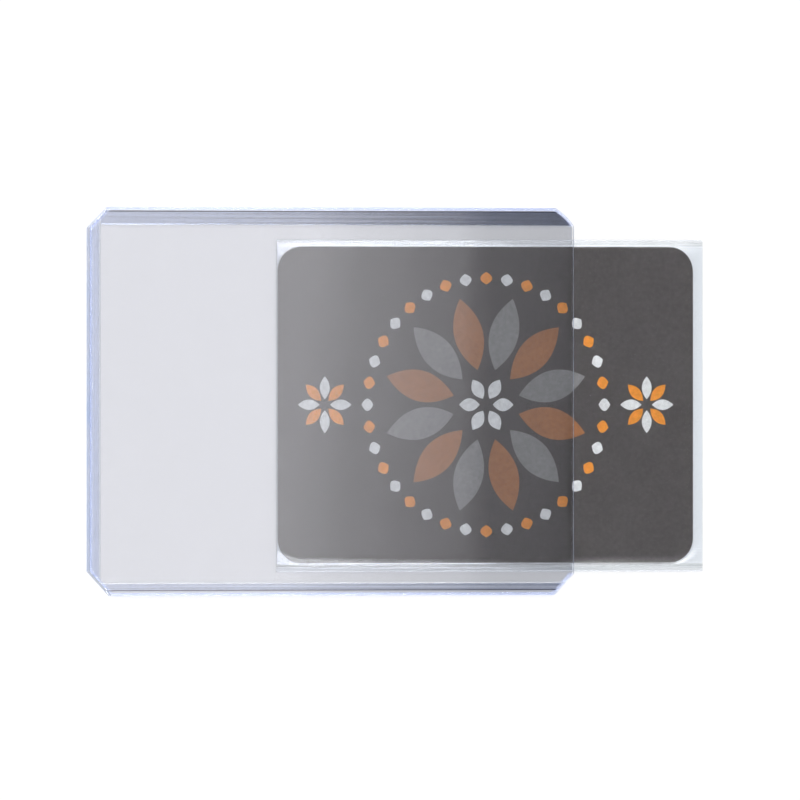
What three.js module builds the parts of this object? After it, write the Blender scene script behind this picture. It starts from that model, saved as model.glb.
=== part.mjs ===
// Rigid card holder lying flat, with a card in a soft film sleeve drawn part way out of it.
//
// Sizes are in millimetres. +Z is up and the back sheet lies on Z = 0. The origin is under the
// middle of the rigid holder, whose pocket opens towards +X. The printed face looks up.

import * as THREE from 'three';

// Card: two printed plies glued to a core
const cardLength = 88.9;
const cardWidth = 63.5;
const cardCornerRadius = 5;
const facePlyThickness = 0.1;
const coreThickness = 0.1;
const backPlyThickness = 0.1;

// Soft sleeve: one film folded at the closed end and welded along both long sides
const filmThickness = 0.05;
const filmToCardClearance = 0.05;
const closedEndClearance = 0.05;
const filmPastCardAtOpenEnd = 2.1;
const upperSideRoom = 1.1;
const lowerSideRoom = 1.5;
const flatFilmPastCard = 0.3;
const weldWidth = 0.3;
const weldHeight = 0.24;
const filmSpacingAtWeld = 0.06;

// Rigid holder: two sheets bonded to three strips that hold them apart
const frontSheetThickness = 0.55;
const backSheetThickness = 0.55;
const slidingClearance = 0.2;
const endStripWidth = 2.5;
const upperStripWidth = 2.9;
const lowerStripWidth = 1.7;
const upperOverhang = 0.7;
const lowerOverhang = 1.0;
const openCornerOverhang = 0.45;
const playAboveSleeve = 2.8;
const playBelowSleeve = 2.0;
const seatClearance = 0.4;
const mouthPastSeatedSleeve = 9.0;

// Corners of the holder: how far each cut runs along X, along Y, and bows outwards
const closedUpperCut = { alongX: 4.2, alongY: 4.1, bow: 0 };
const closedLowerCut = { alongX: 4.7, alongY: 4.9, bow: 0 };
const openUpperCut = { alongX: 3.9, alongY: 3.6, bow: 0.3 };
const openLowerCut = { alongX: 4.1, alongY: 4.3, bow: 0 };

// How far the sleeve is drawn out of its seat in the pocket
const drawnOut = 37;

// Round stretches
const cornerSegments = 12;
const bowSegments = 6;
const foldSegments = 8;

// Thickness of the card, of the filled sleeve and of the pocket that takes it
const cardThickness = facePlyThickness + coreThickness + backPlyThickness;
const sleeveHeight = cardThickness + 2 * (filmToCardClearance + filmThickness);
const pocketGap = sleeveHeight + 2 * slidingClearance;
const middleLevel = backSheetThickness + pocketGap / 2;

// Plan of the sleeve, measured from the outside of its fold and from its lower edge
const foldRadius = sleeveHeight / 2;
const cardStart = foldRadius + closedEndClearance;
const sleeveLength = cardStart + cardLength + filmPastCardAtOpenEnd;
const cardLowerEdge = weldWidth + lowerSideRoom;
const cardUpperEdge = cardLowerEdge + cardWidth;
const sleeveWidth = cardUpperEdge + upperSideRoom + weldWidth;

// Plan of the holder
const pocketWidth = playBelowSleeve + sleeveWidth + playAboveSleeve;
const pocketDepth = seatClearance + sleeveLength + mouthPastSeatedSleeve;
const holderLength = endStripWidth + pocketDepth;
const holderWidth = lowerOverhang + lowerStripWidth + pocketWidth + upperStripWidth + upperOverhang;
const closedEdge = -holderLength / 2;
const openEdge = holderLength / 2;
const lowerEdge = -holderWidth / 2;
const upperEdge = holderWidth / 2;
const pocketClosedEnd = closedEdge + endStripWidth;
const pocketLowerSide = lowerEdge + lowerOverhang + lowerStripWidth;
const pocketUpperSide = pocketLowerSide + pocketWidth;

// Extrusion directions, as the turn that each gives a flat shape drawn in X and Y
const upwards = new THREE.Quaternion();
const towardsX = new THREE.Quaternion(0.5, 0.5, 0.5, 0.5);
const towardsMinusY = new THREE.Quaternion().setFromAxisAngle(new THREE.Vector3(1, 0, 0), Math.PI / 2);

function clearPlastic(color, opacity, roughness) {
  return new THREE.MeshStandardMaterial({
    color,
    roughness,
    metalness: 0,
    transparent: true,
    opacity,
  });
}

function paper(color, roughness) {
  return new THREE.MeshStandardMaterial({ color, roughness, metalness: 0 });
}

function extruded(name, points, length, direction, material) {
  const geometry = new THREE.ExtrudeGeometry(new THREE.Shape(points), {
    depth: length,
    bevelEnabled: false,
  });
  const mesh = new THREE.Mesh(geometry, material);
  mesh.name = name;
  mesh.quaternion.copy(direction);
  return mesh;
}

// A flat plate whose outline is drawn from above, with its underside at a given level
function plate(name, points, thickness, level, material) {
  const mesh = extruded(name, points, thickness, upwards, material);
  mesh.position.z = level;
  return mesh;
}

// A rectangle whose four corners are cut off, each cut straight or bowed outwards.
// Cuts go round from the lower closed corner against the clock.
function cutCornerOutline(box, cuts) {
  const corners = [
    new THREE.Vector2(box.min.x, box.min.y),
    new THREE.Vector2(box.max.x, box.min.y),
    new THREE.Vector2(box.max.x, box.max.y),
    new THREE.Vector2(box.min.x, box.max.y),
  ];
  const centre = box.getCenter(new THREE.Vector2());
  const points = [];
  corners.forEach((corner, index) => {
    const { alongX: cutX, alongY: cutY, bow } = cuts[index];
    const inwardX = Math.sign(centre.x - corner.x);
    const inwardY = Math.sign(centre.y - corner.y);
    const onLevelEdge = new THREE.Vector2(corner.x + inwardX * cutX, corner.y);
    const onUprightEdge = new THREE.Vector2(corner.x, corner.y + inwardY * cutY);
    const startsUpright = inwardX === inwardY;
    const start = startsUpright ? onUprightEdge : onLevelEdge;
    const end = startsUpright ? onLevelEdge : onUprightEdge;
    if (bow === 0) {
      points.push(start, end);
    } else {
      const outwards = new THREE.Vector2(-inwardX * cutY, -inwardY * cutX).normalize();
      const control = start.clone().lerp(end, 0.5).addScaledVector(outwards, 2 * bow);
      points.push(...new THREE.QuadraticBezierCurve(start, control, end).getPoints(bowSegments));
    }
  });
  return points;
}

// The same corner cut on an outline whose edges lie further in, moved in by its own overhang
function insetCut({ alongX: cutX, alongY: cutY, bow }, insetX, insetY, overhang) {
  const slant = Math.hypot(cutX, cutY);
  const depth = (cutX * cutY) / slant;
  const insetDepth = depth + overhang - (cutY * insetX + cutX * insetY) / slant;
  const share = insetDepth / depth;
  return { alongX: cutX * share, alongY: cutY * share, bow };
}

// What is left of a convex outline on one side of a straight line square to an axis
function trimmed(points, axis, limit, keptSide) {
  const distance = (point) => keptSide * (point[axis] - limit);
  const kept = [];
  points.forEach((point, index) => {
    const next = points[(index + 1) % points.length];
    const here = distance(point);
    const there = distance(next);
    if (here >= 0) kept.push(point);
    if (here * there < 0) kept.push(point.clone().lerp(next, here / (here - there)));
  });
  return kept;
}

function roundedRectangle(length, width, radius) {
  const shape = new THREE.Shape();
  shape.absarc(length - radius, radius, radius, -Math.PI / 2, 0, false);
  shape.absarc(length - radius, width - radius, radius, 0, Math.PI / 2, false);
  shape.absarc(radius, width - radius, radius, Math.PI / 2, Math.PI, false);
  shape.absarc(radius, radius, radius, Math.PI, 1.5 * Math.PI, false);
  return shape.getPoints(cornerSegments);
}

// Rigid holder
function makeHolder() {
  const clearSheet = clearPlastic(0xdfe3ee, 0.3, 0.12);
  const clearStrip = clearPlastic(0xc3cce2, 0.55, 0.2);
  const cuts = [closedLowerCut, openLowerCut, openUpperCut, closedUpperCut];
  const sheetBox = new THREE.Box2(
    new THREE.Vector2(closedEdge, lowerEdge),
    new THREE.Vector2(openEdge, upperEdge),
  );
  const sheetOutline = cutCornerOutline(sheetBox, cuts);

  const spacerBox = new THREE.Box2(
    new THREE.Vector2(closedEdge, lowerEdge + lowerOverhang),
    new THREE.Vector2(openEdge, upperEdge - upperOverhang),
  );
  const spacerOutline = cutCornerOutline(spacerBox, [
    insetCut(closedLowerCut, 0, lowerOverhang, 0),
    insetCut(openLowerCut, 0, lowerOverhang, openCornerOverhang),
    insetCut(openUpperCut, 0, upperOverhang, openCornerOverhang),
    insetCut(closedUpperCut, 0, upperOverhang, 0),
  ]);
  const endStrip = trimmed(spacerOutline, 'x', pocketClosedEnd, -1);
  const besideEndStrip = trimmed(spacerOutline, 'x', pocketClosedEnd, 1);
  const upperStrip = trimmed(besideEndStrip, 'y', pocketUpperSide, 1);
  const lowerStrip = trimmed(besideEndStrip, 'y', pocketLowerSide, -1);

  const stripLevel = backSheetThickness;
  const frontLevel = backSheetThickness + pocketGap;
  const holder = new THREE.Group();
  holder.add(
    plate('back_sheet', sheetOutline, backSheetThickness, 0, clearSheet),
    plate('front_sheet', sheetOutline, frontSheetThickness, frontLevel, clearSheet),
    plate('closed_end_strip', endStrip, pocketGap, stripLevel, clearStrip),
    plate('upper_side_strip', upperStrip, pocketGap, stripLevel, clearStrip),
    plate('lower_side_strip', lowerStrip, pocketGap, stripLevel, clearStrip),
  );
  return holder;
}

// The film on one side of the card, seen along the sleeve: a flat middle and two margins that fall
// to the welds. Facing is 1 for the front and -1 for the back.
function filmSections(facing) {
  const overCard = sleeveHeight / 2 - filmThickness;
  const atWeld = filmSpacingAtWeld / 2;
  const innerFace = [
    [weldWidth, atWeld],
    [cardLowerEdge - flatFilmPastCard, overCard],
    [cardUpperEdge + flatFilmPastCard, overCard],
    [sleeveWidth - weldWidth, atWeld],
  ];
  const section = (start) => {
    const [[y1, z1], [y2, z2]] = innerFace.slice(start, start + 2);
    const corners = [[y1, z1], [y2, z2], [y2, z2 + filmThickness], [y1, z1 + filmThickness]];
    return corners.map(([y, z]) => new THREE.Vector2(y, facing * z));
  };
  return { lowerMargin: section(0), middle: section(1), upperMargin: section(2) };
}

// The film turning back on itself round the sleeve's closed end, seen from its side
function foldSection() {
  const shape = new THREE.Shape();
  shape.absarc(foldRadius, 0, foldRadius, Math.PI / 2, 1.5 * Math.PI, false);
  shape.absarc(foldRadius, 0, foldRadius - filmThickness, 1.5 * Math.PI, Math.PI / 2, true);
  return shape.getPoints(foldSegments);
}

// A weld bead, seen along the sleeve's length
function weldSection(start) {
  return [
    new THREE.Vector2(start, -weldHeight / 2),
    new THREE.Vector2(start + weldWidth, -weldHeight / 2),
    new THREE.Vector2(start + weldWidth, weldHeight / 2),
    new THREE.Vector2(start, weldHeight / 2),
  ];
}

// Soft sleeve, drawn with the outside of its fold at X = 0 and its lower edge at Y = 0
function makeSleeve() {
  const film = clearPlastic(0xe4ebf2, 0.25, 0.25);
  const filmLength = sleeveLength - foldRadius;
  const sleeve = new THREE.Group();
  for (const [side, facing] of [['front', 1], ['back', -1]]) {
    const { lowerMargin, middle, upperMargin } = filmSections(facing);
    const films = [
      extruded(`sleeve_${side}_film`, middle, filmLength, towardsX, film),
      extruded(`sleeve_${side}_lower_margin`, lowerMargin, filmLength, towardsX, film),
      extruded(`sleeve_${side}_upper_margin`, upperMargin, filmLength, towardsX, film),
    ];
    films.forEach((piece) => { piece.position.x = foldRadius; });
    sleeve.add(...films);
  }

  const foldLength = sleeveWidth - 2 * weldWidth;
  const fold = extruded('sleeve_end_fold', foldSection(), foldLength, towardsMinusY, film);
  fold.position.y = sleeveWidth - weldWidth;

  const lowerWeld = extruded('sleeve_lower_weld', weldSection(0), sleeveLength, towardsX, film);
  const upperStart = sleeveWidth - weldWidth;
  const upperWeld = extruded('sleeve_upper_weld', weldSection(upperStart), sleeveLength, towardsX, film);
  sleeve.add(fold, lowerWeld, upperWeld);
  return sleeve;
}

// Card, drawn with one corner of its straight edges at the origin and its middle level at Z = 0
function makeCard() {
  const outline = roundedRectangle(cardLength, cardWidth, cardCornerRadius);
  const backLevel = -cardThickness / 2;
  const coreLevel = backLevel + backPlyThickness;
  const faceLevel = coreLevel + coreThickness;
  const card = new THREE.Group();
  card.add(
    plate('card_back_ply', outline, backPlyThickness, backLevel, paper(0x3d3a39, 0.5)),
    plate('card_core', outline, coreThickness, coreLevel, paper(0xd9d4c8, 0.9)),
    plate('card_face_ply', outline, facePlyThickness, faceLevel, paper(0x3d3a39, 0.5)),
  );
  return card;
}

const holder = makeHolder();
const sleeve = makeSleeve();
const card = makeCard();

card.position.set(cardStart, cardLowerEdge, 0);
sleeve.position.set(
  pocketClosedEnd + seatClearance + drawnOut,
  pocketLowerSide + playBelowSleeve,
  middleLevel,
);
sleeve.add(card);

const object = new THREE.Group();
object.add(holder, sleeve);

export default object;
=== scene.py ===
import math

import bpy
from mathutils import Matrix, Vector


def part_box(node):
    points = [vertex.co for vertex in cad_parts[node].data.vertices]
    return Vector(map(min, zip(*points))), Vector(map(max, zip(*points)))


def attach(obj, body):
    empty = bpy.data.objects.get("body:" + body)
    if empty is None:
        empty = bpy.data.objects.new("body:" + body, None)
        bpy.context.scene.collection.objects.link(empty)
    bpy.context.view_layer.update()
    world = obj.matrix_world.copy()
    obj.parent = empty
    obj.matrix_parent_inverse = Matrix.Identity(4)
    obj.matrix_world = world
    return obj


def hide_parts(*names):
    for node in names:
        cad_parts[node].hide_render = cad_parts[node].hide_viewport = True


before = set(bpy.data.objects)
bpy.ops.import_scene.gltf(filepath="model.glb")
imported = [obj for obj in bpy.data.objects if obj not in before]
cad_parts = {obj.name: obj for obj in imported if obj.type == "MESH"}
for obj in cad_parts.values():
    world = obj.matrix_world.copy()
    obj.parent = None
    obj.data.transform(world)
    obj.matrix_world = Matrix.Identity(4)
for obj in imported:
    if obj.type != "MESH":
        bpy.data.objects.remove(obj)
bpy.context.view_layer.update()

# Camera: a very long lens, so that nothing tapers, tipped 20 degrees to the holder's closed end.
# It looks at the middle of the whole object and has +Y up the picture.
MM = 0.001
view_tilt = math.radians(20.1)
camera_distance = 5.3
picture_width = 160.5 * MM
picture_centre = Vector((15.1 * MM, 0.3 * MM, 0))
towards_camera = Vector((-math.sin(view_tilt), 0, math.cos(view_tilt)))

bpy.ops.object.camera_add(
    location=picture_centre + camera_distance * towards_camera,
    rotation=(0, -view_tilt, 0),
)
camera = bpy.context.object
camera.data.sensor_width = 36
camera.data.lens = camera.data.sensor_width * camera_distance / picture_width
camera.data.clip_start = 0.5
camera.data.clip_end = 20
bpy.context.scene.camera = camera

# Studio light: an even dome, white to the eye and to anything see-through, and a soft window light
# from the upper left. Straight up the dome is dark, so that flat plastic mirrors only the softbox.
bpy.context.scene.view_settings.view_transform = "Standard"
bpy.context.scene.cycles.max_bounces = 32
bpy.context.scene.cycles.transmission_bounces = 32
bpy.context.scene.cycles.transparent_max_bounces = 64

dome_light = 0.35
dome_at_horizon = 1.0
dome_overhead = 0.03
horizon_ends = 0.15
overhead_starts = 0.8


def math_node(tree, operation, *values):
    """A Math node on numbers or on other nodes' outputs."""
    node = tree.nodes.new("ShaderNodeMath")
    node.operation = operation
    for index, value in enumerate(values):
        if isinstance(value, (int, float)):
            node.inputs[index].default_value = value
        else:
            tree.links.new(value, node.inputs[index])
    return node.outputs[0]


def not_lighting(tree, light_path):
    """1 on rays that show a light to the eye, 0 on those by which it would light a surface."""
    return math_node(tree, "LESS_THAN", light_path.outputs["Diffuse Depth"], 0.5)


world = bpy.data.worlds.new("studio_dome")
bpy.context.scene.world = world
world.use_nodes = True
tree = world.node_tree
tree.nodes.clear()
output = tree.nodes.new("ShaderNodeOutputWorld")
light_path = tree.nodes.new("ShaderNodeLightPath")
direction = tree.nodes.new("ShaderNodeTexCoord")
height = tree.nodes.new("ShaderNodeSeparateXYZ")
mirrored = tree.nodes.new("ShaderNodeMapRange")
mirrored.inputs["From Min"].default_value = horizon_ends
mirrored.inputs["From Max"].default_value = overhead_starts
mirrored.inputs["To Min"].default_value = dome_at_horizon
mirrored.inputs["To Max"].default_value = dome_overhead
tree.links.new(direction.outputs["Generated"], height.inputs["Vector"])
tree.links.new(height.outputs["Z"], mirrored.inputs["Value"])
shiny = math_node(
    tree, "MAXIMUM", light_path.outputs["Is Glossy Ray"], light_path.outputs["Is Transmission Ray"]
)
seen_clear = math_node(tree, "MULTIPLY", shiny, not_lighting(tree, light_path))
plain_light = tree.nodes.new("ShaderNodeBackground")
plain_light.inputs["Strength"].default_value = dome_light
mirror_light = tree.nodes.new("ShaderNodeBackground")
tree.links.new(mirrored.outputs["Result"], mirror_light.inputs["Strength"])
white = tree.nodes.new("ShaderNodeBackground")
lit_or_mirrored = tree.nodes.new("ShaderNodeMixShader")
tree.links.new(seen_clear, lit_or_mirrored.inputs[0])
tree.links.new(plain_light.outputs[0], lit_or_mirrored.inputs[1])
tree.links.new(mirror_light.outputs[0], lit_or_mirrored.inputs[2])
or_seen = tree.nodes.new("ShaderNodeMixShader")
tree.links.new(light_path.outputs["Is Camera Ray"], or_seen.inputs[0])
tree.links.new(lit_or_mirrored.outputs[0], or_seen.inputs[1])
tree.links.new(white.outputs[0], or_seen.inputs[2])
tree.links.new(or_seen.outputs[0], output.inputs["Surface"])

window_level = 0.72
window_from = Vector((-0.3, 0.3, 1.0))
window_spread = math.radians(28)
bpy.ops.object.light_add(
    type="SUN", location=window_from, rotation=window_from.to_track_quat("Z", "Y").to_euler()
)
window = bpy.context.object
window.name = "window_light"
window.data.angle = window_spread
window.data.energy = window_level * math.pi / window_from.normalized().z
window.visible_glossy = False
window.visible_transmission = False

# Floor: plain white paper, a little of whose white is its own, so that it stays white all round
# the object and still takes its shadow.
floor_size = 6
floor_drop = 0.02 * MM
own_white = 0.2
paper_white = (0.84, 0.84, 0.84)
bpy.ops.mesh.primitive_plane_add(size=floor_size, location=(0, 0, -floor_drop))
floor = bpy.context.object
floor.name = "floor"
paper = bpy.data.materials.new("floor_paper")
paper.use_nodes = True
tree = paper.node_tree
tree.nodes.clear()
output = tree.nodes.new("ShaderNodeOutputMaterial")
light_path = tree.nodes.new("ShaderNodeLightPath")
seen = math_node(
    tree, "MAXIMUM", light_path.outputs["Is Camera Ray"], light_path.outputs["Is Glossy Ray"]
)
own = tree.nodes.new("ShaderNodeEmission")
tree.links.new(math_node(tree, "MULTIPLY", seen, own_white), own.inputs["Strength"])
lit = tree.nodes.new("ShaderNodeBsdfDiffuse")
lit.inputs["Color"].default_value = (*paper_white, 1)
both = tree.nodes.new("ShaderNodeAddShader")
tree.links.new(lit.outputs[0], both.inputs[0])
tree.links.new(own.outputs[0], both.inputs[1])
tree.links.new(both.outputs[0], output.inputs["Surface"])
paper.cycles.emission_sampling = "NONE"
floor.data.materials.append(paper)

# Softbox: one that only glossy and clear surfaces see, hung where the flat sheets mirror it to the
# camera. It fades towards the open end, and its two side tubes catch whatever slopes sideways.
softbox_height = 0.45
softbox_length = 0.4
softbox_width = 0.094
mirror_shift = softbox_height * math.tan(view_tilt)
mirror_growth = 1 + softbox_height / camera_distance
glare = 2.4
glare_colour = (1.0, 0.982, 1.015)
slant = 0.1
slow_fade = (
    (-8, 1.0), (-2, 0.87), (4, 0.74), (11, 0.67), (17, 0.56),
    (24, 0.48), (30, 0.41), (43, 0.27), (56, 0.2),
)
end_fade = ((27, 1.0), (30, 0.77), (33.3, 0.6), (43, 0.7), (50, 0.6), (52, 0.0))


def over_object(x):
    """Where the softbox is that a point this far along the object mirrors to the camera."""
    return mirror_shift + picture_centre.x + (x * MM - picture_centre.x) * mirror_growth


def emitting(name, strength):
    """A glowing material that only mirrors and clear plastic show; it gives no light of its own."""
    material = bpy.data.materials.new(name)
    material.use_nodes = True
    tree = material.node_tree
    tree.nodes.clear()
    ends = tree.nodes.new("ShaderNodeOutputMaterial")
    shine = tree.nodes.new("ShaderNodeEmission")
    shine.name = "shine"
    unlit = not_lighting(tree, tree.nodes.new("ShaderNodeLightPath"))
    tree.links.new(math_node(tree, "MULTIPLY", unlit, strength), shine.inputs["Strength"])
    tree.links.new(shine.outputs[0], ends.inputs["Surface"])
    material.cycles.emission_sampling = "NONE"
    return material


def lamp_place(tree):
    """Where on a lamp a point lies, as its X and its Y in metres."""
    place = tree.nodes.new("ShaderNodeTexCoord")
    apart = tree.nodes.new("ShaderNodeSeparateXYZ")
    tree.links.new(place.outputs["Object"], apart.inputs[0])
    return apart.outputs["X"], apart.outputs["Y"]


def fading(tree, value, steps, colour=(1, 1, 1)):
    """Turns a length in metres into light of the colour by steps of (length, share)."""
    low, high = steps[0][0], steps[-1][0]
    to_ramp = tree.nodes.new("ShaderNodeMapRange")
    to_ramp.inputs["From Min"].default_value = low
    to_ramp.inputs["From Max"].default_value = high
    tree.links.new(value, to_ramp.inputs["Value"])
    ramp = tree.nodes.new("ShaderNodeValToRGB")
    stops = ramp.color_ramp.elements
    while len(stops) < len(steps):
        stops.new(0.5)
    for stop, (where, share) in zip(stops, steps):
        stop.position = (where - low) / (high - low)
        stop.color = (*(share * part for part in colour), 1)
    tree.links.new(to_ramp.outputs["Result"], ramp.inputs["Fac"])
    return ramp.outputs["Color"]


def along_object(steps):
    """Steps along the object, in millimetres, as steps along the softbox that it mirrors."""
    return [(over_object(x), share) for x, share in steps]


def shine_by(material, first, second):
    """Lets a glowing material shine by the product of two fadings."""
    tree = material.node_tree
    product = tree.nodes.new("ShaderNodeMixRGB")
    product.blend_type = "MULTIPLY"
    product.inputs["Fac"].default_value = 1
    tree.links.new(first, product.inputs["Color1"])
    tree.links.new(second, product.inputs["Color2"])
    tree.links.new(product.outputs["Color"], tree.nodes["shine"].inputs["Color"])


bpy.ops.mesh.primitive_plane_add(size=1, location=(0, 0, softbox_height))
softbox = bpy.context.object
softbox.name = "softbox"
bpy.ops.transform.resize(value=(softbox_length, softbox_width, 1))
bpy.ops.transform.translate(value=(mirror_shift, 0, 0))
bpy.ops.object.transform_apply(location=True, rotation=True, scale=True)
cloth = emitting("softbox_cloth", glare)
tree = cloth.node_tree
lengthways, sideways = lamp_place(tree)
slanted = math_node(tree, "MULTIPLY_ADD", sideways, -slant, lengthways)
shine_by(
    cloth,
    fading(tree, slanted, along_object(slow_fade), glare_colour),
    fading(tree, lengthways, along_object(end_fade)),
)
softbox.data.materials.append(cloth)

tube_light = 36
tube_near, tube_far = 0.048, 0.26
across_tube = ((tube_near, 0.0), (0.06, 0.2), (0.09, 1.0), (0.2, 1.0), (tube_far, 0.0))
tube_fade = ((-60, 1.0), (-4, 1.0), (15, 0.67), (37, 0.4), (47, 0.14), (90, 0.12))
bpy.ops.mesh.primitive_plane_add(size=1, location=(0, 0, softbox_height))
tubes = bpy.context.object
tubes.name = "side_tubes"
bpy.ops.transform.resize(value=(softbox_length, tube_far - tube_near, 1))
bpy.ops.transform.translate(value=(mirror_shift, (tube_near + tube_far) / 2, 0))
bpy.ops.object.mode_set(mode="EDIT")
bpy.ops.mesh.duplicate()
bpy.ops.transform.translate(value=(0, -tube_near - tube_far, 0))
bpy.ops.object.mode_set(mode="OBJECT")
bpy.ops.object.transform_apply(location=True, rotation=True, scale=True)
gas = emitting("tube_light", tube_light)
tree = gas.node_tree
lengthways, sideways = lamp_place(tree)
shine_by(
    gas,
    fading(tree, math_node(tree, "ABSOLUTE", sideways), across_tube),
    fading(tree, lengthways, along_object(tube_fade)),
)
tubes.data.materials.append(gas)

for light in (softbox, tubes):
    light.visible_camera = False
    light.visible_diffuse = False
    light.visible_shadow = False

# Rigid sheets: two rectangles of clear hard vinyl, 0.55 mm thick, with their corners sheared off.
# The shear leaves frosted, faintly blue edges and a whitened rim along them. The back sheet is
# underneath and the front on top.
same_place = 0.001 * MM
sharp_edge = math.radians(40)


def only(piece):
    """Selects this piece alone and makes it the active one."""
    bpy.ops.object.select_all(action="DESELECT")
    piece.select_set(True)
    bpy.context.view_layer.objects.active = piece


def edit_only(piece, kind, wanted):
    """Opens a piece in edit mode with only the faces or edges selected that are wanted.

    The kind, FACE or EDGE, is set first, because faces selected in another one are dropped."""
    only(piece)
    bpy.ops.object.mode_set(mode="EDIT")
    bpy.ops.mesh.select_mode(type=kind)
    bpy.ops.mesh.select_all(action="DESELECT")
    bpy.ops.object.mode_set(mode="OBJECT")
    for part in piece.data.polygons if kind == "FACE" else piece.data.edges:
        part.select = wanted(part)
    bpy.ops.object.mode_set(mode="EDIT")


def block(name, low, high):
    """A block between two corners, with its place in its mesh."""
    bpy.ops.object.select_all(action="DESELECT")
    bpy.ops.mesh.primitive_cube_add(size=1, location=(0, 0, 0))
    piece = bpy.context.object
    piece.name = name
    bpy.ops.transform.resize(value=high - low)
    bpy.ops.transform.translate(value=(low + high) / 2)
    bpy.ops.object.transform_apply(location=True, rotation=True, scale=True)
    return piece


def shear(piece, first, second, inside):
    """Cuts off what lies past the upright plane through two points in plan."""
    only(piece)
    line = Vector((second[0] - first[0], second[1] - first[1], 0))
    outwards = line.cross(Vector((0, 0, 1))).normalized()
    if outwards.dot(Vector((first[0] - inside[0], first[1] - inside[1], 0))) < 0:
        outwards.negate()
    bpy.ops.object.mode_set(mode="EDIT")
    bpy.ops.mesh.select_all(action="SELECT")
    bpy.ops.mesh.bisect(
        plane_co=(first[0], first[1], 0),
        plane_no=outwards,
        use_fill=True,
        clear_outer=True,
        threshold=same_place,
    )
    bpy.ops.object.mode_set(mode="OBJECT")


def soften(piece, width, segments=2):
    """Rounds every sharp edge a little and keeps the wide faces' shading flat."""
    only(piece)
    bpy.ops.object.shade_smooth()
    rounding = piece.modifiers.new("rounding", "BEVEL")
    rounding.width = width
    rounding.segments = segments
    rounding.limit_method = "ANGLE"
    rounding.angle_limit = sharp_edge
    rounding.harden_normals = True
    bpy.ops.object.modifier_apply(modifier=rounding.name)


def clear_plastic(name, tint, ior, roughness, through, clearness=1):
    """A clear plastic that lets lamplight through to what lies behind it."""
    material = bpy.data.materials.new(name)
    material.use_nodes = True
    tree = material.node_tree
    tree.nodes.clear()
    ends = tree.nodes.new("ShaderNodeOutputMaterial")
    plastic = tree.nodes.new("ShaderNodeBsdfPrincipled")
    plastic.name = "plastic"
    plastic.inputs["Base Color"].default_value = (*tint, 1)
    plastic.inputs["Roughness"].default_value = roughness
    plastic.inputs["IOR"].default_value = ior
    plastic.inputs["Transmission Weight"].default_value = clearness
    path = tree.nodes.new("ShaderNodeLightPath")
    passed = tree.nodes.new("ShaderNodeBsdfTransparent")
    passed.inputs["Color"].default_value = (*through, 1)
    either = tree.nodes.new("ShaderNodeMixShader")
    tree.links.new(path.outputs["Is Shadow Ray"], either.inputs[0])
    tree.links.new(plastic.outputs[0], either.inputs[1])
    tree.links.new(passed.outputs[0], either.inputs[2])
    tree.links.new(either.outputs[0], ends.inputs["Surface"])
    return material


def object_place(material):
    """The object's own coordinates in this material."""
    return material.node_tree.nodes.new("ShaderNodeTexCoord").outputs["Object"]


def noise_at(tree, coordinates, scale, size, detail=3):
    """A noise on the given coordinates, stretched by the scale."""
    stretch = tree.nodes.new("ShaderNodeMapping")
    stretch.inputs["Scale"].default_value = scale
    noise = tree.nodes.new("ShaderNodeTexNoise")
    noise.inputs["Scale"].default_value = size
    noise.inputs["Detail"].default_value = detail
    tree.links.new(coordinates, stretch.inputs["Vector"])
    tree.links.new(stretch.outputs["Vector"], noise.inputs["Vector"])
    return noise.outputs["Fac"]


def ripples(material, height, distance):
    """Gives a plastic ripples of the given height."""
    tree = material.node_tree
    bump = tree.nodes.new("ShaderNodeBump")
    bump.inputs["Strength"].default_value = 1
    bump.inputs["Distance"].default_value = distance
    tree.links.new(height, bump.inputs["Height"])
    tree.links.new(bump.outputs["Normal"], tree.nodes["plastic"].inputs["Normal"])


def even_ripples(material, size, distance, scale=(1, 1, 1)):
    """Gives a plastic the same ripples all over, by a noise of this size."""
    ripples(material, noise_at(material.node_tree, object_place(material), scale, size), distance)


def mixed(tree, share, first, second):
    """A mix by the share of two colours, each written out or from another node."""
    mix = tree.nodes.new("ShaderNodeMixRGB")
    tree.links.new(share, mix.inputs["Fac"])
    for socket, colour in (("Color1", first), ("Color2", second)):
        if isinstance(colour, tuple):
            mix.inputs[socket].default_value = (*colour, 1)
        else:
            tree.links.new(colour, mix.inputs[socket])
    return mix.outputs["Color"]


def between(tree, value, low, high, first, second):
    """A colour that turns from the first to the second as the value goes from low to high."""
    share = tree.nodes.new("ShaderNodeMapRange")
    share.inputs["From Min"].default_value = low
    share.inputs["From Max"].default_value = high
    tree.links.new(value, share.inputs["Value"])
    return mixed(tree, share.outputs["Result"], first, second)


closed_lower_cut = (4.7 * MM, 4.9 * MM, 0)
closed_upper_cut = (4.2 * MM, 4.1 * MM, 0)
open_lower_cut = (4.1 * MM, 4.3 * MM, 0)
open_upper_cut = (3.9 * MM, 3.6 * MM, 0.3 * MM)
bow_steps = 5
middle_of_holder = (0, 0)
rim_width = 0.6 * MM
sheet_rounding = 0.08 * MM
beside_middle = 10 * MM
flat_least = 0.9
aslant_least = 0.1

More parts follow.
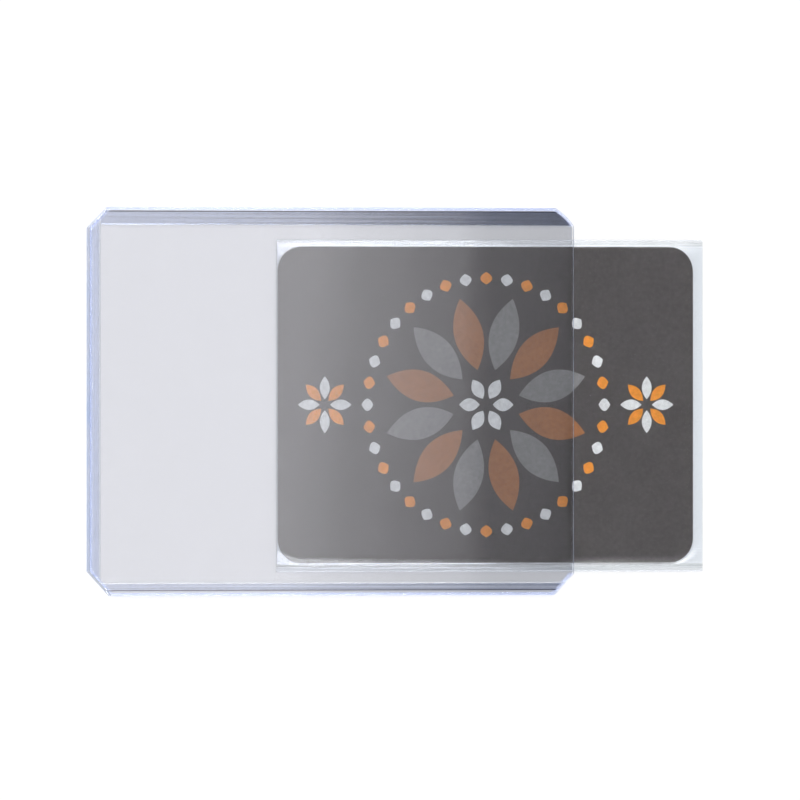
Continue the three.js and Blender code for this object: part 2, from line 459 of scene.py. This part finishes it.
vinyl_ior = 1.53
vinyl = clear_plastic(
    "clear_vinyl", (0.885, 0.893, 0.91), vinyl_ior, roughness=0.0, through=(0.86, 0.86, 0.87)
)
even_ripples(vinyl, size=30, distance=0.03 * MM)
rim_vinyl = clear_plastic(
    "whitened_rim", (0.80, 0.84, 0.97), vinyl_ior,
    roughness=0.11, through=(0.98, 0.98, 0.99), clearness=0.95,
)
cut_vinyl = clear_plastic(
    "cut_vinyl_edge", (0.68, 0.77, 0.98), vinyl_ior,
    roughness=0.6, through=(0.9, 0.93, 0.98), clearness=0.25,
)
tree = cut_vinyl.node_tree
cut_noise = noise_at(tree, object_place(cut_vinyl), (1, 1, 1), size=160)
cut_tint = between(
    tree, cut_noise, low=0.35, high=0.65, first=(0.60, 0.72, 1.0), second=(0.80, 0.84, 0.98)
)
tree.links.new(cut_tint, tree.nodes["plastic"].inputs["Base Color"])
sheared_vinyl = clear_plastic(
    "sheared_corner", (0.83, 0.88, 1.0), vinyl_ior,
    roughness=0.6, through=(0.95, 0.96, 1.0), clearness=0.05,
)
even_ripples(sheared_vinyl, size=400, distance=0.02 * MM)
sheet_finishes = (vinyl, cut_vinyl, rim_vinyl, sheared_vinyl)


def shear_corners(piece, low, high, lower_closed, upper_closed, lower_open, upper_open):
    """Shears the four corners, each by its own cut along X and Y and its own outward bow."""
    for corner_x, corner_y, (cut_x, cut_y, bow) in (
        (low.x, low.y, lower_closed),
        (low.x, high.y, upper_closed),
        (high.x, low.y, lower_open),
        (high.x, high.y, upper_open),
    ):
        first = Vector((corner_x + math.copysign(cut_x, -corner_x), corner_y))
        second = Vector((corner_x, corner_y + math.copysign(cut_y, -corner_y)))
        outwards = (Vector((corner_x, corner_y)) - (first + second) / 2).normalized()
        steps = bow_steps if bow else 1
        points = []
        for step in range(steps + 1):
            share = step / steps
            points.append(first.lerp(second, share) + outwards * bow * 4 * share * (1 - share))
        for start, end in zip(points, points[1:]):
            shear(piece, start, end, middle_of_holder)


def lies_flat(face):
    """Whether a face belongs to one of a sheet's two wide sides."""
    return abs(face.normal.z) > flat_least


def slants(face):
    """Whether a face looks out across a corner."""
    return abs(face.normal.x) > aslant_least and abs(face.normal.y) > aslant_least


def whiten_rim(piece, open_end):
    """Sets a narrow rim off from both wide sides and gives rim and cut edge their finish.

    The rim stays clear along the open end, where its one long face has its middle near y = 0."""
    for finish in sheet_finishes:
        piece.data.materials.append(finish)
    for face in piece.data.polygons:
        finish = vinyl if lies_flat(face) else sheared_vinyl if slants(face) else cut_vinyl
        face.material_index = sheet_finishes.index(finish)
    edit_only(piece, "FACE", lies_flat)
    bpy.ops.mesh.inset(thickness=rim_width, use_even_offset=True)
    bpy.ops.object.mode_set(mode="OBJECT")
    for face in piece.data.polygons:
        at_open_end = face.center.x > open_end - rim_width and abs(face.center.y) < beside_middle
        if lies_flat(face) and not face.select and not at_open_end:
            face.material_index = sheet_finishes.index(rim_vinyl)


for node in ("back_sheet", "front_sheet"):
    low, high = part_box(node)
    sheet = block("clear_" + node, low, high)
    shear_corners(
        sheet, low, high, closed_lower_cut, closed_upper_cut, open_lower_cut, open_upper_cut
    )
    whiten_rim(sheet, high.x)
    soften(sheet, sheet_rounding)
    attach(sheet, "holder")
    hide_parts(node)

# Side and end strips: vinyl spacers that hold the two sheets apart, solvent bonded between them.
# Drawn lengthwise, they are streaky, bluer and darker than the sheets. Part of that darkness is
# painted shade: the shade that falls under each strip is painted into its tint, deepest on the upper
# one. The side strips also pale towards the closed end by a painted glare. The solvent has left their
# inner edges rounded and milky, a white that is partly a painted highlight. A near-black band along
# the side strips' outer edges is painted shade.
bond_gap = 0.015 * MM
strip_rounding = 0.12 * MM
fillet_width = 0.26 * MM
fillet_drop = 0.042 * MM
at_edge = 0.01 * MM
wide_side_least = 0.99
dark_edge_least = 0.3
one_plane = math.radians(2)
# Milky inner edges: partly the solvent's milkiness, partly a painted highlight for the bright line along
# them.
milky_bond_painted_highlight = clear_plastic(
    "milky_bond_painted_highlight", (0.95, 0.97, 1.0), vinyl_ior,
    roughness=0.12, through=(0.9, 0.92, 0.95), clearness=0.4,
)
even_ripples(milky_bond_painted_highlight, size=300, distance=0.01 * MM)
# Painted shade: a near-black tint on the side strips' wide faces along their outer edges.
dark_edge_painted_shade = clear_plastic(
    "dark_edge_painted_shade", (0.05, 0.06, 0.11), ior=1.1, roughness=0.1, through=(0.8, 0.82, 0.86)
)
even_ripples(dark_edge_painted_shade, size=300, distance=0.02 * MM, scale=(1, 4, 1))


def streaked_vinyl(name, darker, lighter, through, painted_glare):
    """Strip plastic with streaks along it. Its colour pales towards the closed end by the last argument
    per metre: a painted glare, lighter where the softbox mirrors brightest.
    """
    plastic = clear_plastic(name, lighter, vinyl_ior, roughness=0.05, through=through)
    tree = plastic.node_tree
    lengthwise = tree.nodes.new("ShaderNodeUVMap")
    lengthwise.uv_map = "lengthwise"
    streaks = noise_at(tree, lengthwise.outputs["UV"], (14, 1900, 1), size=1, detail=4)
    ripples(plastic, streaks, 0.005 * MM)
    to_open_end = tree.nodes.new("ShaderNodeSeparateXYZ")
    tree.links.new(lengthwise.outputs["UV"], to_open_end.inputs[0])
    paled = math_node(tree, "MULTIPLY_ADD", to_open_end.outputs["X"], -painted_glare, streaks)
    tinted = between(tree, paled, low=0.36, high=0.64, first=darker, second=lighter)
    tree.links.new(tinted, tree.nodes["plastic"].inputs["Base Color"])
    return plastic


# Each tint is partly the strip's own and partly painted shade, darkest on the upper strip.
end_vinyl_painted_shade = streaked_vinyl(
    "end_strip_vinyl_painted_shade", darker=(0.54, 0.61, 0.77), lighter=(0.76, 0.81, 0.94),
    through=(0.84, 0.86, 0.90), painted_glare=0,
)
upper_vinyl_painted_shade = streaked_vinyl(
    "upper_strip_vinyl_painted_shade", darker=(0.19, 0.215, 0.29), lighter=(0.58, 0.63, 0.75),
    through=(0.84, 0.85, 0.88), painted_glare=3.8,
)
lower_vinyl_painted_shade = streaked_vinyl(
    "lower_strip_vinyl_painted_shade", darker=(0.46, 0.51, 0.62), lighter=(0.88, 0.91, 1.0),
    through=(0.84, 0.85, 0.88), painted_glare=1,
)


def part_off(piece, across, place):
    """Divides a piece's faces by an upright plane across a direction, and cuts nothing off."""
    only(piece)
    bpy.ops.object.mode_set(mode="EDIT")
    bpy.ops.mesh.select_all(action="SELECT")
    bpy.ops.mesh.bisect(plane_co=across * place, plane_no=across, threshold=same_place)
    bpy.ops.object.mode_set(mode="OBJECT")


def fillet_inner_edge(piece, inwards, edge):
    """Slopes the wide faces down towards the inner edge, where solvent has softened the strip."""
    part_off(piece, inwards, edge - fillet_width)
    heights = [vertex.co.z for vertex in piece.data.vertices]
    half_way = (min(heights) + max(heights)) / 2
    for vertex in piece.data.vertices:
        if vertex.co.dot(inwards) > edge - at_edge:
            vertex.co.z -= math.copysign(fillet_drop, vertex.co.z - half_way)


for node, outer_side, strip_vinyl, dark_edge_width in (
    ("closed_end_strip", (-1, 0), end_vinyl_painted_shade, 0.2 * MM),
    ("upper_side_strip", (0, 1), upper_vinyl_painted_shade, 0.27 * MM),
    ("lower_side_strip", (0, -1), lower_vinyl_painted_shade, 0.2 * MM),
):
    low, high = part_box(node)
    low.z += bond_gap
    high.z -= bond_gap
    cad_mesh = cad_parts[node].data
    bpy.ops.object.select_all(action="DESELECT")
    strip = bpy.data.objects.new("clear_" + node, cad_mesh.copy())
    bpy.context.collection.objects.link(strip)
    only(strip)
    bpy.ops.object.mode_set(mode="EDIT")
    bpy.ops.mesh.select_all(action="SELECT")
    bpy.ops.mesh.remove_doubles(threshold=same_place)
    bpy.ops.mesh.dissolve_limited(angle_limit=one_plane)
    bpy.ops.object.mode_set(mode="OBJECT")
    bpy.ops.mesh.customdata_custom_splitnormals_clear()
    middle = (low.z + high.z) / 2
    for vertex in strip.data.vertices:
        vertex.co.z = high.z if vertex.co.z > middle else low.z
    strip.data.materials.clear()
    inwards = -Vector((*outer_side, 0))
    outer_edge, inner_edge = sorted((low.dot(inwards), high.dot(inwards)))
    fillet_inner_edge(strip, inwards, inner_edge)
    # Splits off the band along the outer edge that gets the painted shade.
    part_off(strip, inwards, outer_edge + dark_edge_width)
    soften(strip, strip_rounding, segments=4)
    bpy.ops.mesh.customdata_custom_splitnormals_clear()
    bpy.ops.object.shade_flat()
    strip_finishes = (strip_vinyl, cut_vinyl, milky_bond_painted_highlight, dark_edge_painted_shade, sheared_vinyl)
    for finish in strip_finishes:
        strip.data.materials.append(finish)
    side_strip = outer_side[0] == 0
    for face in strip.data.polygons:
        looks_in = face.normal.dot(inwards) > aslant_least
        in_dark_edge = face.center.dot(inwards) < outer_edge + dark_edge_width
        if side_strip and in_dark_edge and abs(face.normal.z) > dark_edge_least:
            finish = dark_edge_painted_shade
        elif abs(face.normal.z) > wide_side_least:
            finish = strip_vinyl
        elif looks_in:
            finish = milky_bond_painted_highlight
        elif slants(face):
            finish = sheared_vinyl
        else:
            finish = cut_vinyl
        face.material_index = strip_finishes.index(finish)
    along_axis = 0 if side_strip else 1
    layer = strip.data.uv_layers.new(name="lengthwise")
    for loop in strip.data.loops:
        corner = strip.data.vertices[loop.vertex_index].co
        layer.data[loop.index].uv = (corner[along_axis], corner[1 - along_axis] + corner.z)
    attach(strip, "holder")
    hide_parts(node)

# Card: two printed plies glued to a pale core and die cut together with round corners.
# Satin ink on a dark warm grey ground, with a wheel of petals, two small flowers and a ring of dots.
card_low, card_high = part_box("card_core")
card_radius = 5 * MM
card_rounding = 0.012 * MM
card_corner_steps = 16
card_middle = Vector(((card_low.x + card_high.x) / 2, (card_low.y + card_high.y) / 2, 0))
ground = (0.072, 0.065, 0.063)
copper = (0.38, 0.165, 0.07)
pale_grey = (0.27, 0.265, 0.26)
bright_orange = (0.88, 0.33, 0.06)
white_ink = (0.86, 0.86, 0.85)
dots_in_ring = 36
flower_offset = 34.5


def new_group(name, inputs, outputs):
    """A shader node group with the named inputs and outputs, and its two end nodes."""
    group = bpy.data.node_groups.new(name, "ShaderNodeTree")
    for socket, kind in inputs:
        group.interface.new_socket(socket, in_out="INPUT", socket_type=kind)
    for socket, kind in outputs:
        group.interface.new_socket(socket, in_out="OUTPUT", socket_type=kind)
    return group, group.nodes.new("NodeGroupInput"), group.nodes.new("NodeGroupOutput")


def wheel_of_petals():
    """Puts out two masks, of the odd and of the even petals of a wheel round the origin."""
    group, given, result = new_group(
        "wheel_of_petals",
        (
            ("Place", "NodeSocketVector"), ("Petals", "NodeSocketFloat"), ("Radius", "NodeSocketFloat"),
            ("Half Length", "NodeSocketFloat"), ("Half Width", "NodeSocketFloat"),
        ),
        (("Odd", "NodeSocketFloat"), ("Even", "NodeSocketFloat")),
    )

    def work_out(operation, *values):
        """A Math node in this group."""
        return math_node(group, operation, *values)

    apart = group.nodes.new("ShaderNodeSeparateXYZ")
    group.links.new(given.outputs["Place"], apart.inputs[0])
    x, y = apart.outputs["X"], apart.outputs["Y"]
    squares = work_out("ADD", work_out("MULTIPLY", x, x), work_out("MULTIPLY", y, y))
    distance = work_out("SQRT", squares)
    turn = work_out("DIVIDE", work_out("ARCTAN2", y, x), 2 * math.pi)
    turns = work_out("MULTIPLY", turn, given.outputs["Petals"])
    number = work_out("ROUND", turns)
    off_turns = work_out("SUBTRACT", turns, number)
    off_angle = work_out("DIVIDE", work_out("MULTIPLY", off_turns, 2 * math.pi), given.outputs["Petals"])
    lengthways = work_out("MULTIPLY", distance, work_out("COSINE", off_angle))
    sideways = work_out("ABSOLUTE", work_out("MULTIPLY", distance, work_out("SINE", off_angle)))
    past_middle = work_out("SUBTRACT", lengthways, given.outputs["Radius"])
    share = work_out("DIVIDE", past_middle, given.outputs["Half Length"])
    narrowing = work_out("SUBTRACT", 1, work_out("MULTIPLY", share, share))
    reach = work_out("MULTIPLY", narrowing, given.outputs["Half Width"])
    inside = work_out("GREATER_THAN", work_out("SUBTRACT", reach, sideways), 0)
    odd = work_out("GREATER_THAN", work_out("PINGPONG", number, 1), 0.5)
    group.links.new(work_out("MULTIPLY", inside, odd), result.inputs["Odd"])
    even = work_out("SUBTRACT", 1, odd)
    group.links.new(work_out("MULTIPLY", inside, even), result.inputs["Even"])
    return group


def ink_grain():
    """Puts out the ink's colour with a fine grain and faint clouds, and the grain's height."""
    fine_share, cloud_share, least = 0.5, 0.3, 0.6
    group, given, result = new_group(
        "ink_grain",
        (("Place", "NodeSocketVector"), ("Ink", "NodeSocketColor")),
        (("Colour", "NodeSocketColor"), ("Height", "NodeSocketFloat")),
    )
    fine = noise_at(group, given.outputs["Place"], (1, 1, 1), size=1300, detail=1)
    cloud = noise_at(group, given.outputs["Place"], (1, 1, 1), size=90, detail=3)
    fine_part = math_node(group, "MULTIPLY", fine, fine_share)
    cloud_part = math_node(group, "MULTIPLY", cloud, cloud_share)
    grain = math_node(group, "ADD", fine_part, cloud_part)
    shaded = group.nodes.new("ShaderNodeVectorMath")
    shaded.operation = "SCALE"
    group.links.new(given.outputs["Ink"], shaded.inputs[0])
    group.links.new(math_node(group, "ADD", grain, least), shaded.inputs["Scale"])
    group.links.new(shaded.outputs[0], result.inputs["Colour"])
    group.links.new(fine, result.inputs["Height"])
    return group


petal_group = wheel_of_petals()
grain_group = ink_grain()


def printed(name, medallion_colours, small_colours):
    """Satin printed card: a petal wheel in the middle, small flowers beside it, a ring of dots."""
    material = bpy.data.materials.new(name)
    material.use_nodes = True
    tree = material.node_tree
    ink = tree.nodes["Principled BSDF"]
    ink.inputs["Roughness"].default_value = 0.5
    ink.inputs["IOR"].default_value = 1.3
    place = object_place(material)
    colour = ground

    def wheel(colours, petals, radius, half_length, half_width, offset=0, turned=0.0):
        """Prints one wheel of petals in two inks over what is there, lengths in millimetres."""
        nonlocal colour
        centred = tree.nodes.new("ShaderNodeMapping")
        centred.vector_type = "TEXTURE"
        centred.inputs["Location"].default_value = (card_middle.x + offset * MM, card_middle.y, 0)
        centred.inputs["Rotation"].default_value = (0, 0, turned)
        centred.inputs["Scale"].default_value = (MM, MM, MM)
        tree.links.new(place, centred.inputs["Vector"])
        node = tree.nodes.new("ShaderNodeGroup")
        node.node_tree = petal_group
        tree.links.new(centred.outputs["Vector"], node.inputs["Place"])
        node.inputs["Petals"].default_value = petals
        node.inputs["Radius"].default_value = radius
        node.inputs["Half Length"].default_value = half_length
        node.inputs["Half Width"].default_value = half_width
        for mask, ink_colour in zip(("Odd", "Even"), colours):
            colour = mixed(tree, node.outputs[mask], colour, ink_colour)

    half_petal_turn = math.radians(15)
    in_middle = (small_colours[1], small_colours[1])
    wheel(
        medallion_colours, petals=12, radius=14.6, half_length=7.4, half_width=3.1,
        turned=half_petal_turn,
    )
    wheel(in_middle, petals=6, radius=3.6, half_length=2.2, half_width=1.3)
    wheel(small_colours, petals=dots_in_ring, radius=25.4, half_length=1.25, half_width=1.25)
    for offset in (-flower_offset, flower_offset):
        wheel(small_colours, petals=8, radius=3.4, half_length=2.3, half_width=1.05, offset=offset)

    grained = tree.nodes.new("ShaderNodeGroup")
    grained.node_tree = grain_group
    tree.links.new(place, grained.inputs["Place"])
    tree.links.new(colour, grained.inputs["Ink"])
    tree.links.new(grained.outputs["Colour"], ink.inputs["Base Color"])
    bump = tree.nodes.new("ShaderNodeBump")
    bump.inputs["Strength"].default_value = 0.3
    bump.inputs["Distance"].default_value = 0.0015 * MM
    tree.links.new(grained.outputs["Height"], bump.inputs["Height"])
    tree.links.new(bump.outputs["Normal"], ink.inputs["Normal"])
    return material


def reach_along(piece, edge, axis):
    """How far an edge reaches along X, Y or Z, given as 0, 1 or 2."""
    first, second = (piece.data.vertices[index].co for index in edge.vertices)
    return abs(first[axis] - second[axis])


core_paper = bpy.data.materials.new("card_core")
core_paper.use_nodes = True
tree = core_paper.node_tree
pulp = tree.nodes["Principled BSDF"]
pulp.inputs["Roughness"].default_value = 0.9
pulp_noise = noise_at(tree, object_place(core_paper), (1, 1, 4), size=1500, detail=4)
pulp_tint = between(
    tree, pulp_noise, low=0.3, high=0.7, first=(0.62, 0.58, 0.50), second=(0.80, 0.77, 0.70)
)
tree.links.new(pulp_tint, pulp.inputs["Base Color"])
face_print = printed("printed_face", (copper, pale_grey), (bright_orange, white_ink))
back_print = printed("printed_back", (pale_grey, copper), (white_ink, bright_orange))

for node, paper in (
    ("card_face_ply", face_print),
    ("card_core", core_paper),
    ("card_back_ply", back_print),
):
    low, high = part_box(node)
    ply = block(node.replace("card_", "die_cut_"), low, high)
    edit_only(ply, "EDGE", lambda edge: reach_along(ply, edge, 2) > (high.z - low.z) / 2)
    bpy.ops.mesh.bevel(offset=card_radius, segments=card_corner_steps, affect="EDGES")
    bpy.ops.object.mode_set(mode="OBJECT")
    soften(ply, card_rounding)
    ply.data.materials.append(paper)
    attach(ply, "card")
    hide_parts(node)

# Soft sleeve: one thin film of soft clear plastic, folded at its closed end and welded along both
# long sides. It lies on the card, falls to the welds past its edges in lengthwise folds, and stands
# a little open at its mouth.
film_tint = (0.94, 0.955, 0.98)
# Painted shade for the steep parts of both margins.
painted_shade_tint = (0.72, 0.73, 0.74)
crease_height = 0.8
film = clear_plastic(
    "soft_film", film_tint, ior=1.34, roughness=0.02, through=(0.97, 0.98, 0.985)
)
tree = film.node_tree


def painted(name):
    """The share from 0 to 1 that the film's mesh holds under this name."""
    attribute = tree.nodes.new("ShaderNodeAttribute")
    attribute.attribute_name = name
    return attribute.outputs["Fac"]


waves = noise_at(tree, object_place(film), (1, 1, 1), size=120)
creases = noise_at(tree, object_place(film), (30, 4800, 0), size=1, detail=2)
in_margin = painted("margin")
crease_tint = between(
    tree, creases, low=0.38, high=0.62, first=(0.84, 0.855, 0.87), second=(0.98, 0.985, 1.0)
)
creased = mixed(tree, in_margin, film_tint, crease_tint)
# Painted shade: the film's tint darkens by the steep share.
darkened = mixed(tree, painted("steep"), creased, painted_shade_tint)
tree.links.new(darkened, tree.nodes["plastic"].inputs["Base Color"])
deep_in_margin = math_node(tree, "MULTIPLY", in_margin, crease_height)
ripples(film, math_node(tree, "MULTIPLY_ADD", creases, deep_in_margin, waves), 0.01 * MM)

fold_low, fold_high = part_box("sleeve_end_fold")
lower_weld_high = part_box("sleeve_lower_weld")[1]
upper_weld_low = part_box("sleeve_upper_weld")[0]
film_thickness = 0.05 * MM
off_weld = 0.01 * MM
middle_level = (fold_low.z + fold_high.z) / 2
over_card = (fold_high.z - fold_low.z) / 2 - film_thickness / 2
at_weld = 0.055 * MM
start_x = fold_low.x
end_x = lower_weld_high.x
start_y = lower_weld_high.y + off_weld
end_y = upper_weld_low.y - off_weld
fold_radius = over_card

# Where the film leaves the card's flat, in millimetres, and how far it has sagged at the card's
# edge, as a share of its fall to the weld. A sag over 0.29 would take it into the card. Below, the
# film hangs looser towards the fold and past the mouth, and drops over a brink on its way.
lower_reach, lower_reach_sway = 2.1, 0.35
upper_reach, upper_reach_sway = 0.5, 0.2
lower_sag, loose_sag, upper_sag = 0.14, 0.14, 0.06
loose_before, loose_run = 40 * MM, 45 * MM
mouth_start, mouth_run = 48 * MM, 6 * MM
brink_middle, brink_sway = 0.42, 0.08
brink_share, even_share = 0.8, 0.2
straight_share, curved_share = 0.75, 0.25
pleat_spacing = 0.085 * MM
pleat_depth = 0.004 * MM
pleat_sway = 1.8


def past_card(x, y):
    """How far a point in plan lies outside the card's outline; negative inside it."""
    from_x = abs(x - card_middle.x) - (card_high.x - card_low.x) / 2 + card_radius
    from_y = abs(y - card_middle.y) - (card_high.y - card_low.y) / 2 + card_radius
    outside = math.hypot(max(from_x, 0), max(from_y, 0))
    return outside + min(max(from_x, from_y), 0) - card_radius


def sway(x, phase):
    """A slow uneven wave along the sleeve, between about -1 and 1."""
    return (
        0.5 * math.sin(x / (5.3 * MM) + phase)
        + 0.3 * math.sin(x / (2.3 * MM) + 1.7 * phase + 1)
        + 0.2 * math.sin(x / (1.1 * MM) + 2.9 * phase + 2)
    )


def eased(share):
    """A share from 0 to 1 with a soft start and end."""
    return share * share * (3 - 2 * share)


def film_lift(x, y):
    """Height of the film's middle above the sleeve's middle level."""
    lower = y < card_middle.y
    if lower:
        reach = (lower_reach + lower_reach_sway * sway(x, 0.4)) * MM
    else:
        reach = (upper_reach + upper_reach_sway * sway(x, 2.1)) * MM
    towards_fold = max(0, min((loose_before - x) / loose_run, 1))
    past_mouth = max(0, min((x - mouth_start) / mouth_run, 1))
    sag_at_edge = lower_sag + loose_sag * max(towards_fold, past_mouth) if lower else upper_sag
    past = past_card(x, y)
    if past < 0:
        sagged = sag_at_edge * max(1 + past / reach, 0) ** 2
        return over_card + (at_weld - over_card) * sagged
    to_weld = max(min(y - start_y, end_y - y), 0)
    way = past / (past + to_weld + same_place)
    if lower:
        brink = brink_middle + brink_sway * sway(x, 3.0)
        fallen = eased(min(way / brink, 1)) * brink_share + even_share * way
    else:
        fallen = straight_share * way + curved_share * eased(way)
    pleats = math.sin(min(y - start_y, end_y - y) / pleat_spacing + pleat_sway * sway(x, 1.0))
    pleat_height = pleat_depth * pleats * 4 * way * (1 - way)
    sagged = sag_at_edge + (1 - sag_at_edge) * fallen
    return over_card + (at_weld - over_card) * sagged + pleat_height


def spaced(*runs):
    """Positions along a line, from runs of (start, end, steps)."""
    places = [runs[0][0]]
    for start, end, steps in runs:
        places.extend(start + (end - start) * (step + 1) / steps for step in range(steps))
    return places


fold_steps = 6
beside_fold = 7 * MM
beside_mouth = 6 * MM
bend_reach = 0.2 * MM
sag_reach = 4 * MM
flat_start = start_x + film_thickness / 2 + fold_radius
fold_turns = [step / fold_steps for step in range(fold_steps)]
columns = spaced(
    (flat_start, flat_start + beside_fold, 20),
    (flat_start + beside_fold, card_high.x - beside_mouth, 120),
    (card_high.x - beside_mouth, end_x, 24),
)
half_columns = len(fold_turns) + len(columns) - 1
rows = spaced(
    (start_y, card_low.y + bend_reach, 30),
    (card_low.y + bend_reach, card_low.y + sag_reach, 24),
    (card_low.y + sag_reach, card_high.y - sag_reach, 30),
    (card_high.y - sag_reach, card_high.y - bend_reach, 16),
    (card_high.y - bend_reach, end_y, 24),
)
bpy.ops.object.select_all(action="DESELECT")
bpy.ops.mesh.primitive_grid_add(
    x_subdivisions=2 * half_columns, y_subdivisions=len(rows) - 1, size=1, location=(0, 0, 0)
)
sleeve = bpy.context.object
sleeve.name = "soft_sleeve"
for vertex in sleeve.data.vertices:
    column = round(vertex.co.x * 2 * half_columns)
    side = math.copysign(1, column)
    y = rows[round((vertex.co.y + 0.5) * (len(rows) - 1))]
    if abs(column) < len(fold_turns):
        turn = fold_turns[abs(column)] * math.pi / 2
        x = start_x + film_thickness / 2 + fold_radius * (1 - math.cos(turn))
        lift = film_lift(flat_start, y) * math.sin(turn)
    else:
        x = columns[abs(column) - len(fold_turns)]
        lift = film_lift(x, y)
    vertex.co = (x, y, middle_level + side * lift)
only(sleeve)
wall = sleeve.modifiers.new("wall", "SOLIDIFY")
wall.thickness = film_thickness
wall.offset = 0
bpy.ops.object.modifier_apply(modifier=wall.name)
bpy.ops.object.mode_set(mode="EDIT")
bpy.ops.mesh.select_all(action="SELECT")
bpy.ops.mesh.normals_make_consistent(inside=False)
bpy.ops.object.mode_set(mode="OBJECT")
bpy.ops.object.shade_smooth_by_angle(angle=sharp_edge)

# Creases start past the card's edge. The steep parts of both margins get painted shade, a darker
# tint, most of all the lower one's at the fold. Places across a margin are shares of the way to the
# weld.
crease_start = 0.2 * MM
fading_end = 12 * MM
fading_length = 16 * MM
steep_away, steep_at_fold = 0.25, 0.6
steep_sway = 0.4
lower_steep_place, lower_steep_reach = 0.45, 0.3
upper_steep_place, upper_steep_reach = 0.7, 0.6
upper_steep_most = 0.4
margin_share = sleeve.data.attributes.new("margin", "FLOAT", "POINT")
painted_shade_share = sleeve.data.attributes.new("steep", "FLOAT", "POINT")
for vertex in sleeve.data.vertices:
    x, y, _ = vertex.co
    beyond = max(card_low.y - y, y - card_high.y)
    margin_share.data[vertex.index].value = max(0, min(beyond / crease_start, 1))
    down = (card_low.y - y) / (card_low.y - start_y)
    up = (y - card_high.y) / (end_y - card_high.y)
    at_fold = eased(max(0, min((fading_end - x) / fading_length, 1)))
    steepness = (steep_away + steep_at_fold * at_fold) * (1 + steep_sway * sway(x, 5.0))
    lower_steep = max(0, 1 - abs(down - lower_steep_place) / lower_steep_reach) * steepness
    upper_steep = max(0, 1 - abs(up - upper_steep_place) / upper_steep_reach)
    upper_steep *= upper_steep_most * (1 + steep_sway * sway(x, 1.0))
    painted_shade_share.data[vertex.index].value = max(lower_steep, upper_steep)
sleeve.data.materials.append(film)
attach(sleeve, "sleeve")
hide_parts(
    "sleeve_front_film", "sleeve_front_lower_margin", "sleeve_front_upper_margin",
    "sleeve_back_film", "sleeve_back_lower_margin", "sleeve_back_upper_margin",
    "sleeve_end_fold",
)

# Weld beads: the film's own plastic, where its two edges are melted together along each long side.
# It sets in a thin bead, a little cloudy and of uneven width.
weld = clear_plastic(
    "weld_bead", (0.92, 0.95, 1.0), ior=1.45,
    roughness=0.2, through=(0.95, 0.96, 0.98), clearness=0.75,
)
bead_steps = 100
bead_sides = 12
bead_swell, bead_swell_sway = 0.86, 0.12
bead_shift = 0.02 * MM
for node, phase in (("sleeve_lower_weld", 0.0), ("sleeve_upper_weld", 2.0)):
    low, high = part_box(node)
    bpy.ops.object.select_all(action="DESELECT")
    bpy.ops.mesh.primitive_cylinder_add(
        vertices=bead_sides, radius=1, depth=1, end_fill_type="TRIFAN", location=(0, 0, 0)
    )
    bead = bpy.context.object
    bead.name = "bead_" + node
    bpy.ops.object.mode_set(mode="EDIT")
    bpy.ops.mesh.select_all(action="SELECT")
    bpy.ops.transform.rotate(value=math.pi / 2, orient_axis="Y", center_override=(0, 0, 0))
    bpy.ops.object.mode_set(mode="OBJECT")
    edit_only(bead, "EDGE", lambda edge: reach_along(bead, edge, 0) > 0.5)
    bpy.ops.mesh.subdivide(number_cuts=bead_steps)
    bpy.ops.object.mode_set(mode="OBJECT")
    half_width = (high.y - low.y) / 2
    half_height = (high.z - low.z) / 2
    for vertex in bead.data.vertices:
        x = low.x + (high.x - low.x) * (vertex.co.x + 0.5)
        swell = bead_swell + bead_swell_sway * sway(x, phase)
        shift = bead_shift * sway(x, phase + 4)
        y = (low.y + high.y) / 2 + vertex.co.y * half_width * swell + shift
        z = (low.z + high.z) / 2 + vertex.co.z * half_height * swell
        vertex.co = (x, y, z)
    only(bead)
    bpy.ops.object.shade_smooth_by_angle(angle=math.radians(60))
    bead.data.materials.append(weld)
    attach(bead, "sleeve")
    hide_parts(node)
